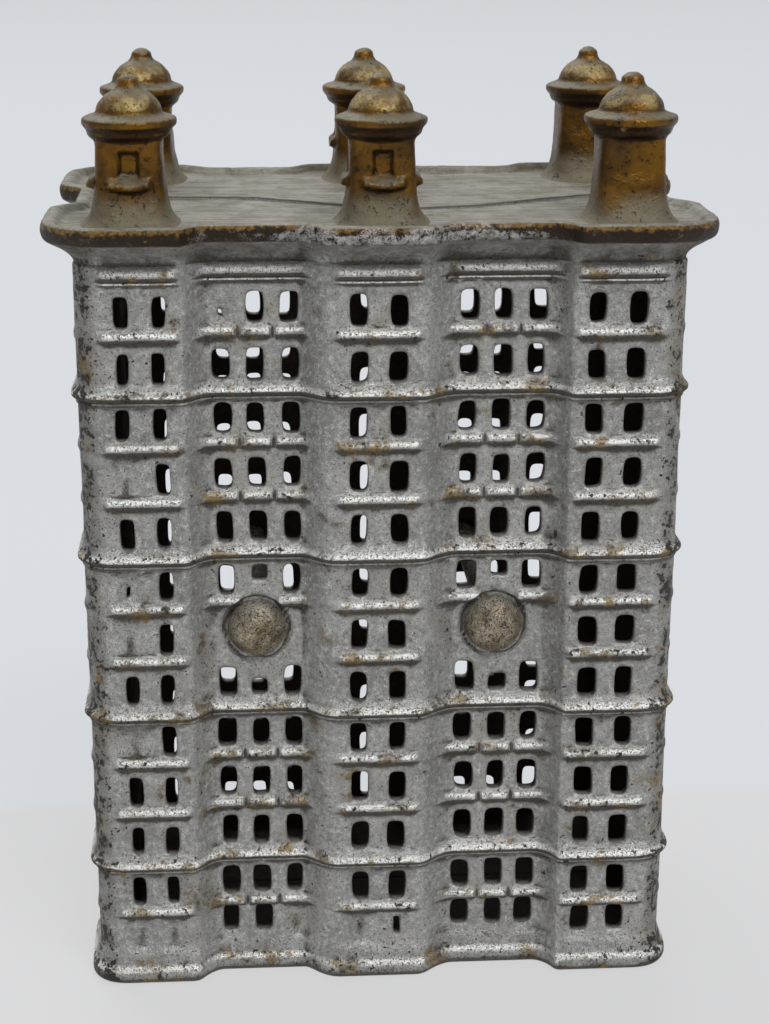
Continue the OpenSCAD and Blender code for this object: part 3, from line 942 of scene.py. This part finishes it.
def bolt(name, body, x0):
    """A carriage bolt along Y: domed head at the front, thread at the back."""
    a = np.linspace(0, 2 * math.pi, BOLT_SIDES, endpoint=False)
    rings = []

    def ring(y, r, square=2.0):
        c, s = np.cos(a), np.sin(a)
        rr = r / (np.abs(c) ** square + np.abs(s) ** square) ** (1 / square)
        rings.append(ring_at(x0, y, rr, a))

    for k in range(1, 15):
        e = math.pi / 2 * k / 15
        ring(HEAD_Y + HEAD_H * (1 - math.cos(e)) * 0.94, (HEAD_R - 0.1) * math.sin(e) ** 0.92)
    for dy, dr in ((-0.35, 0.02), (-0.2, 0.0), (-0.05, 0.15), (0, 0.5), (0.02, 1.6)):
        ring(-SEAT_FACE - 0.2 + dy, HEAD_R - dr)
    for y in np.linspace(-SEAT_FACE - 0.1, NECK_END, 5):
        ring(y, BOLT_R + 0.2, 9.0)
    for y, r in ((NECK_END + 0.15, 2.3), (0.0, 2.25), (THREAD_START - 0.4, 2.25)):
        ring(y, r)
    for y in np.arange(THREAD_START, TIP_Y - 0.5, THREAD_PITCH / 7):
        fade = smooth(y, THREAD_START, THREAD_START + 1.5)
        fade = fade * (1 - smooth(y, TIP_Y - 1.4, TIP_Y - 0.5))
        r = 2.0 + 0.38 * fade * (1 - np.abs(2 * thread_phase(y, a) - 1)) ** 0.8
        rings.append(ring_at(x0, y, r, a))
    for y, r in ((TIP_Y - 0.35, 1.85), (TIP_Y - 0.1, 1.4), (TIP_Y, 0.7)):
        ring(y, r)
    mesh = lofted(rings, name)
    points, normals = points_of(mesh) / MM, points_of(mesh, "normal")
    head = points[:, 1] < -SEAT_FACE - 0.5
    set_points(mesh, grain(points, normals, 1.0 - head, 0.05, 0.05, 0.03))
    thing = new_object(name, mesh)
    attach(thing, body)
    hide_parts(body)
    print(name, len(mesh.polygons), "faces, head from y", round(HEAD_Y, 1), "tip", round(TIP_Y, 1))
    return thing


bolts = [bolt("domed_bolt_" + s, "bolt_" + s, x) for s, x in zip(("left", "right"), BOLT_X)]

# %% Nut
def nut(name, node, x0):
    """A square nut with its outer corners turned off and a threaded bore."""
    low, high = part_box(node)
    y0, y1 = low.y / MM, high.y / MM
    half = (high.x - low.x) / 2 / MM
    a = np.linspace(0, 2 * math.pi, NUT_SIDES, endpoint=False)
    c, s = np.cos(a), np.sin(a)
    square = half / (np.abs(c) ** 14 + np.abs(s) ** 14) ** (1 / 14)
    rings = []
    for y, cut, cap in ((y0, 0.25, 9), (y0 + 0.2, 0.0, 9), (y1 - 1.0, 0.0, 9), (y1 - 0.5, 0.0, 5.5),
                        (y1 - 0.1, 0.0, 4.9), (y1, 0.2, 4.5)):
        r = np.minimum(square - cut, cap * half / 4.35)
        rings.append(ring_at(x0, y, r, a))
    for y in np.linspace(y1, y0, 26):
        edge = min(abs(y - y1), abs(y - y0))
        r = 2.45 + 0.3 * (1 - smooth(edge, 0, 0.5)) + 0.3 * np.abs(2 * thread_phase(y, a) - 1)
        rings.append(ring_at(x0, y, r, a))
    faces = ring_quads(len(rings), NUT_SIDES, closed=True)
    mesh = smooth_mesh(name, np.concatenate(rings), faces, turn=True)
    mesh.set_sharp_from_angle(angle=math.radians(35))
    thing = new_object(name, mesh)
    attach(thing, node)
    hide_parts(node)
    print(name, len(mesh.polygons), "faces")
    return thing


nuts = [nut("square_nut_" + s, "nut_" + s, x) for s, x in zip(("left", "right"), BOLT_X)]

# %% [markdown]
# ## Finishes
#
# Materials are node trees. Two helpers keep them readable. A Number wraps a socket, so that a
# sum written in Python adds the Math nodes for it. A Finish makes every other node through one
# method: the node's type, its settings, and the values or links of its sockets.

# %% Node helpers
class Number:
    """A number socket that can be used in sums."""

    def __init__(self, finish, socket):
        self.finish, self.socket = finish, socket

    def _sum(self, operation, first, second):
        node = self.finish.node("Math", {"operation": operation}, {0: first, 1: second})
        return Number(self.finish, node.outputs[0])

    def __add__(self, other):
        return self._sum("ADD", self, other)

    def __sub__(self, other):
        return self._sum("SUBTRACT", self, other)

    def __mul__(self, other):
        return self._sum("MULTIPLY", self, other)

    def __rsub__(self, other):
        return self._sum("SUBTRACT", other, self)

    __radd__, __rmul__ = __add__, __mul__

    def __abs__(self):
        return self._sum("ABSOLUTE", self, 0.0)

    def most(self, other):
        return self._sum("MAXIMUM", self, other)


class Finish:
    """A material whose nodes are added one by one."""

    def __init__(self, name):
        self.material = bpy.data.materials.new(name)
        self.material.use_nodes = True
        self.tree = self.material.node_tree
        self.tree.nodes.clear()
        self.out = self.node("OutputMaterial")
        self.coordinate = self.node("TexCoord").outputs["Object"]
        self.shape = self.node("NewGeometry")

    def node(self, kind, settings=None, sockets=None):
        node = self.tree.nodes.new("ShaderNode" + kind)
        for key, value in (settings or {}).items():
            setattr(node, key, value)
        for key, value in (sockets or {}).items():
            if isinstance(value, Number):
                value = value.socket
            if isinstance(value, bpy.types.NodeSocket):
                self.tree.links.new(value, node.inputs[key])
            else:
                node.inputs[key].default_value = value
        return node

    def grain(self, size, detail=2.0, rough=0.5, shift=0.0):
        """Noise from 0 to 1 with lumps about size millimetres wide."""
        place = self.node("VectorMath", {"operation": "ADD"},
                          {0: self.coordinate, 1: (shift, shift * 0.7, shift * 0.3)})
        node = self.node("TexNoise", None, {"Vector": place.outputs[0], "Scale": 1 / (size * MM),
                                            "Detail": detail, "Roughness": rough})
        return Number(self, node.outputs[0])

    def streaks(self):
        """Brush marks that run across, a few millimetres apart."""
        squeeze = self.node("VectorMath", {"operation": "MULTIPLY"},
                            {0: self.coordinate, 1: (90.0, 900.0, 900.0)})
        marks = self.node("TexNoise", None, {"Vector": squeeze.outputs[0], "Scale": 1.0,
                                             "Detail": 3.0})
        return Number(self, marks.outputs["Fac"])

    def step(self, value, low, high, top=1.0):
        """A soft step from 0 to top as value goes from low to high."""
        node = self.node("MapRange", {"interpolation_type": "SMOOTHSTEP"},
                         {0: value, 1: low, 2: high, 3: 0.0, 4: top})
        return Number(self, node.outputs[0])

    def blend(self, amount, first, second):
        """A colour that goes from first to second."""
        node = self.node("Mix", {"data_type": "RGBA"}, {0: amount, 6: first, 7: second})
        return node.outputs[2]

    def trait(self, name):
        return Number(self, self.node("Attribute", {"attribute_name": name}).outputs["Fac"])

    def place(self, axis):
        """The place along an axis, in millimetres."""
        node = self.node("SeparateXYZ", None, {0: self.coordinate})
        return Number(self, node.outputs[axis]) * 1000.0

    def facing_up(self):
        node = self.node("SeparateXYZ", None, {0: self.shape.outputs["Normal"]})
        return Number(self, node.outputs[2])

    def finish(self, colour, rough, metal, height, bump, depth):
        """Ends the tree in a Principled shader, with a bump from height."""
        bump = self.node("Bump", None, {"Strength": bump, "Distance": depth, "Height": height})
        sockets = {"Base Color": colour, "Roughness": rough, "Metallic": metal,
                   "Normal": bump.outputs[0]}
        shader = self.node("BsdfPrincipled", None, sockets)
        self.tree.links.new(shader.outputs[0], self.out.inputs[0])
        return self.material


def srgb(r, g, b):
    """A colour picked on a 0 to 255 scale, as the linear values that nodes take."""
    return tuple((c / 255 / 12.92 if c < 10.3 else ((c / 255 + 0.055) / 1.055) ** 2.4)
                 for c in (r, g, b)) + (1.0,)


SILVER = srgb(198, 198, 195)
SILVER_DULL = srgb(138, 137, 133)
SILVER_RUBBED_AND_LIT = srgb(246, 245, 239)
IRON = srgb(34, 31, 26)
OCHRE = srgb(136, 108, 38)
RUST = srgb(72, 56, 28)
DUST = srgb(152, 150, 140)
BRONZE = srgb(118, 82, 22)
BRONZE_DARK = srgb(44, 32, 18)
BRONZE_BRIGHT_AND_SHEEN = srgb(178, 156, 100)
GRIME_AND_SHADE, WASH, EDGE_BROWN = srgb(54, 49, 38), srgb(108, 94, 62), srgb(130, 100, 44)
DUST_WARM, DUST_BROWN, DUST_GOLD = srgb(112, 105, 84), srgb(92, 86, 66), srgb(98, 86, 52)
CRACK, INNER_IRON_AND_SHADE, INNER_RUST = srgb(58, 52, 34), srgb(30, 27, 23), srgb(66, 48, 34)
print("silver is", [round(c, 3) for c in SILVER[:3]])

# %% [markdown]
# The walls carry aluminium paint, gone dull and grainy. It is rubbed bright on what stands
# out and stained with bronze near the belts and sills, and the tops of sills and belts and
# bright flecks in the grain carry painted highlights. It is thin and dirty in the hollows, and
# the hollows, the undersides of sills and belts and faces turned down are darker with painted
# shade. Black iron shows in pits, most of all along the upright corners. The traits painted on
# the mesh say where sills, roof, edge, inside and the cracked joint are, and the mesh's own
# curvature finds the rest. Each weight and threshold below was set, then changed a little.

# %% Silver paint on the castings
def silver_paint():
    f = Finish("worn_silver_paint_and_painted_light")
    point = Number(f, f.shape.outputs["Pointiness"])
    fine, sand = f.grain(0.35, 3.0, 0.65), f.grain(0.9, 3.0, 0.6, 0.013)
    lumps, clouds = f.grain(3.2, 3.0, 0.6, 0.041), f.grain(11.0, 4.0, 0.55, 0.073)
    stains = f.grain(6.0, 4.0, 0.62, 0.117)
    trim, roof, edge, inside = (f.trait(t) for t in ("trim", "roof", "edge", "inside"))
    up = f.facing_up()
    corner = f.step(abs(f.place(0)), HALF_W - 5.0, HALF_W - 1.5)
    corner = corner * f.step(abs(f.place(1)), HALF_D - 9.0, HALF_D - 3.0)
    proud, hollow = f.step(point, 0.505, 0.56), f.step(0.5 - point, 0.0, 0.06)
    colour = f.blend(f.step(fine * 0.7 + sand * 0.4 + clouds * 0.5, 0.6, 1.0), SILVER_DULL, SILVER)
    # Bright flecks in the grain are painted glints.
    colour = f.blend(f.step(fine + sand * 0.35, 0.71, 0.81, 0.8), colour, SILVER_RUBBED_AND_LIT)
    # Edges that stand out are rubbed bright, and trim that faces up gets a painted highlight.
    lit_ledge = trim * f.step(up, -0.3, 0.6)
    bright = f.step(proud * 0.4 + lit_ledge * 0.55 + fine * 0.9, 0.72, 1.0, 0.85)
    colour = f.blend(bright, colour, SILVER_RUBBED_AND_LIT)
    # Hollows, the undersides of trim and faces turned down are darker: painted shade, mixed with
    # dirt in lumps and clouds and a stain near the corners.
    under = trim * f.step(0.15 - up, 0.0, 0.5)
    grime_and_shade = hollow * 0.8 + lumps * 0.5 + clouds * 0.35 + under * 0.45 + corner * 0.2 - up * 0.25
    dirt_and_shade = f.step(grime_and_shade + fine * 0.4, 0.6, 1.05, 0.85)
    colour = f.blend(dirt_and_shade, colour, GRIME_AND_SHADE)
    gilt = f.step(stains + trim * 0.11 + corner * 0.06 + sand * 0.28, 0.75, 0.86, 0.75)
    colour = f.blend(gilt, colour, f.blend(f.step(lumps, 0.4, 0.6), OCHRE, RUST))
    wash = clouds * 0.8 + stains * 0.4 + hollow * 0.1 + corner * 0.1 - lit_ledge * 0.1
    wash = f.step(wash, 0.60, 0.82)
    colour = f.blend(wash * f.step(sand + fine * 0.5, 0.45, 0.95, 0.6), colour, WASH)
    pits = sand * 0.7 + lumps * 0.45 + corner * 0.13 + trim * 0.05 + hollow * 0.06
    pits = f.step(pits, 0.72, 0.76)
    specks = f.step(fine + hollow * 0.06 + trim * 0.03, 0.575, 0.63, 0.8)
    pits = pits.most(specks)
    colour = f.blend(pits, colour, IRON)
    rubbed = 1 - f.step(abs(f.place(0) - 3.0), 14.0, 30.0)
    high = f.step(f.place(2), ROOF_Z - 1.6, ROOF_Z - 0.5)
    low = 1 - f.step(f.place(2), ROOF_Z - 1.9, ROOF_Z - 1.2)
    bare = lumps * 0.5 + clouds * 0.3 + fine * 0.25 + rubbed * (low * 0.12 + 0.12)
    bare = edge * f.step(bare, 0.60, 0.70)
    worn = f.blend(f.step(sand + lumps * 0.6 + high * 0.3, 0.9, 1.15, 0.8), BRONZE_DARK, EDGE_BROWN)
    colour = f.blend(edge * (1 - bare * f.step(fine + sand, 0.82, 1.0, 0.9)), colour, worn)
    dust = roof * f.step(up, 0.35, 0.8)
    streaks = f.streaks()
    dusty = f.blend(f.step(stains * 0.8 + streaks * 0.8, 0.6, 1.05), DUST, DUST_WARM)
    dusty = f.blend(f.step(lumps + fine * 0.4, 0.72, 0.95, 0.6), dusty, DUST_BROWN)
    crack = f.trait("crack")
    dusty = f.blend(f.step(crack + lumps * 0.5 + sand * 0.3, 0.75, 1.15, 0.9), dusty, CRACK)
    back = f.step(f.place(1), HALF_D - 4.0, HALF_D + 2.5)
    dusty = f.blend(back * f.step(lumps + streaks * 0.4, 0.4, 0.8, 0.8), dusty, DUST_GOLD)
    colour = f.blend(dust, colour, dusty)
    # The inside is dark iron with rust, and the window tunnels darken into it with depth: painted
    # shade.
    colour = f.blend(inside, colour, f.blend(lumps, INNER_IRON_AND_SHADE, INNER_RUST))
    rough = 0.3 + fine * 0.22 + dirt_and_shade * 0.25 + dust * 0.2 + inside * 0.25
    metal = (1 - inside) * (1 - dust) * (1 - pits) * (1 - dirt_and_shade) * 0.6
    height = fine * 0.7 + sand * 1.0 + lumps * 0.3 - pits * 0.8
    return f.finish(colour, rough, metal, height, 0.9, 0.00026)


silver = silver_paint()
print(silver.name, "has", len(silver.node_tree.nodes), "nodes")


# %% Bronze paint on the posts
def bronze_paint():
    f = Finish("worn_bronze_paint_and_painted_light")
    point = Number(f, f.shape.outputs["Pointiness"])
    fine, sand = f.grain(0.4, 3.0, 0.6, 0.2), f.grain(1.4, 3.0, 0.6, 0.33)
    lumps, clouds = f.grain(3.0, 3.0, 0.55, 0.47), f.grain(8.0, 3.0, 0.5, 0.59)
    up, z = f.facing_up(), f.place(2)
    proud, hollow = f.step(point, 0.51, 0.60), f.step(0.5 - point, 0.0, 0.05)
    colour = f.blend(f.step(clouds + sand * 0.5, 0.55, 0.95), BRONZE, srgb(74, 52, 22))
    # Hollows, the underside of the cap and faces turned down are darker: painted shade, mixed with
    # dark wear in lumps.
    bowl = f.step(z, ROOF_Z + 12.6, ROOF_Z + 13.6) * (1 - f.step(z, ROOF_Z + 15.0, ROOF_Z + 15.8))
    under = f.step(0.15 - up, 0.0, 0.5)
    dark_and_shade = hollow * 0.8 + lumps * 0.7 + under * bowl * 0.7 - up * 0.25
    colour = f.blend(f.step(dark_and_shade, 0.5, 0.95, 0.9), colour, BRONZE_DARK)
    dull = f.step(up * 0.8 + lumps * 0.9 + clouds * 0.6, 0.95, 1.5, 0.85)
    foot = 1 - f.step(z, ROOF_Z + 1.5, ROOF_Z + 5.5)
    dull = dull.most(foot * f.step(clouds + up * 0.6, 0.25, 0.7, 0.9))
    colour = f.blend(dull, colour, srgb(118, 112, 92))
    # A band round the dome and edges that stand out are brighter bronze: a painted sheen and
    # highlight.
    dome = f.step(z, ROOF_Z + 17.4, ROOF_Z + 18.4) * (1 - f.step(z, ROOF_Z + 20.0, ROOF_Z + 21.2))
    gold_and_sheen = proud * f.step(lumps + fine * 0.5, 0.5, 0.95)
    gold_and_sheen = gold_and_sheen * 0.8 + dome * f.step(sand * 0.7 + lumps + fine * 0.3, 0.75, 1.25, 0.8)
    colour = f.blend(f.step(gold_and_sheen, 0.1, 0.9, 0.85), colour, BRONZE_BRIGHT_AND_SHEEN)
    pits = f.step(fine * 0.5 + sand * 0.6, 0.62, 0.70, 0.8)
    colour = f.blend(pits, colour, IRON)
    rough = 0.26 + fine * 0.22 + dull * 0.25
    metal = 0.8 - dull * 0.55
    return f.finish(colour, rough, metal, fine * 0.5 + sand * 1.0 - pits * 0.5, 0.8, 0.0003)


bronze = bronze_paint()
print(bronze.name, "has", len(bronze.node_tree.nodes), "nodes")


# %% Worn iron on bolts and nuts
def bolt_iron():
    f = Finish("rubbed_iron_and_painted_highlight")
    point = Number(f, f.shape.outputs["Pointiness"])
    fine, sand = f.grain(0.3, 3.0, 0.65, 0.7), f.grain(0.7, 3.0, 0.6, 0.81)
    lumps = f.grain(2.6, 3.0, 0.55, 0.93)
    up = f.facing_up()
    colour = f.blend(f.step(sand + fine * 0.5, 0.6, 0.9), srgb(140, 126, 98), srgb(206, 200, 182))
    colour = f.blend(f.step(lumps + sand * 0.4, 0.6, 0.85, 0.65), colour, srgb(110, 82, 42))
    # Lighter flecks, more of them on faces turned up: a painted highlight on the top of the head.
    colour = f.blend(f.step(fine * 0.8 + up * 0.3 + sand * 0.3, 0.62, 0.85, 0.8), colour,
                     srgb(214, 208, 194))
    colour = f.blend(f.step(point, 0.53, 0.62, 0.6), colour, srgb(206, 200, 184))
    pits = f.step(fine * 0.8 + sand * 0.35 + lumps * 0.12, 0.645, 0.68, 0.9)
    colour = f.blend(pits, colour, IRON)
    rough = 0.28 + fine * 0.25 + pits * 0.2
    return f.finish(colour, rough, 0.65 - pits * 0.4, fine * 0.7 + sand * 0.7 - pits, 0.8, 0.0002)


iron = bolt_iron()
print(iron.name, "has", len(iron.node_tree.nodes), "nodes")


# %% Finishes onto the pieces
def dressed(things, material):
    """Gives things their material."""
    for thing in things:
        thing.data.materials.clear()
        thing.data.materials.append(material)


dressed([front_casting], silver)
dressed([rear_casting], silver)
dressed([front_posts], bronze)
dressed([rear_posts], bronze)
dressed(bolts, iron)
dressed(nuts, iron)
print("finishes:", silver.name, bronze.name, iron.name)

# %% [markdown]
# ## Stage, light and camera
#
# The bank stands on a plain pale floor, which runs on as its own background. It glows a
# little, so that it stays pale without a strong light. One soft panel hangs above the front, a
# wider one above the back lights the roof, and a bright sky fills in the rest. The camera
# looks down on the bank from a little above the roof.

# %% Floor
FLOOR_REACH, GLOW, GLOW_SHARE = 6.0, 0.9, 0.8


def floor():
    """A wide pale floor in metres, partly lit and partly glowing."""
    f = Finish("pale_floor")
    y = f.place(1)
    colour = f.blend(f.step(y, 40.0, 46.0), srgb(226, 226, 227), srgb(226, 229, 233))
    shader = f.node("BsdfPrincipled", None, {"Base Color": colour, "Roughness": 0.45})
    glow = f.node("Emission", None, {"Color": colour, "Strength": GLOW})
    both = f.node("MixShader", None, {0: GLOW_SHARE, 1: shader.outputs[0], 2: glow.outputs[0]})
    f.tree.links.new(both.outputs[0], f.out.inputs[0])
    mesh = bpy.data.meshes.new("floor")
    r = FLOOR_REACH
    mesh.from_pydata([(-r, -r, 0), (r, -r, 0), (r, r, 0), (-r, r, 0)], [], [(0, 1, 2, 3)])
    mesh.materials.append(f.material)
    thing = new_object("floor", mesh)


floor()
print("floor reaches", FLOOR_REACH, "m each way")


# %% Lights
def panel(name, place_at, aim, size, power):
    """A square lamp of a size in metres and a power in watts, turned towards a place."""
    light = bpy.data.lights.new(name, "AREA")
    light.shape, light.size, light.energy = "SQUARE", size, power
    thing = new_object(name, light)
    thing.location = place_at
    thing.rotation_euler = (Vector(aim) - Vector(place_at)).to_track_quat("-Z", "Y").to_euler()


panel("soft_front", (0.5, -1.1, 1.7), (0, 0, 0.08), 0.9, 19)
panel("soft_back", (-0.5, 1.4, 1.9), (0, 0, 0.12), 1.6, 24)
world = bpy.data.worlds.new("studio")
world.use_nodes = True
sky = world.node_tree.nodes["Background"]
sky.inputs[0].default_value = (0.86, 0.88, 0.91, 1)
sky.inputs[1].default_value = 0.5
bpy.context.scene.world = world
bpy.context.scene.view_settings.view_transform = "Standard"

# %% Camera
LENS = 73.85
TURN, PITCH, ROLL = math.radians(-3.89), math.radians(17.50), math.radians(0.19)
CAMERA_AT = (-0.02358, -0.38095, 0.20062)
camera = new_object("camera", bpy.data.cameras.new("camera"))
camera.data.lens, camera.data.sensor_width = LENS, 36.0
camera.data.clip_start, camera.data.clip_end = 0.01, 20.0
forward = Vector((-math.sin(TURN) * math.cos(PITCH), math.cos(TURN) * math.cos(PITCH),
                  -math.sin(PITCH)))
right = Vector((math.cos(TURN), math.sin(TURN), 0))
up = right.cross(forward)
right, up = (right * math.cos(ROLL) + up * math.sin(ROLL),
             up * math.cos(ROLL) - right * math.sin(ROLL))
turn = Matrix((right, up, -forward)).transposed().to_4x4()
camera.matrix_world = Matrix.Translation(CAMERA_AT) @ turn
bpy.context.scene.camera = camera
print("camera looks along", [round(v, 3) for v in forward])
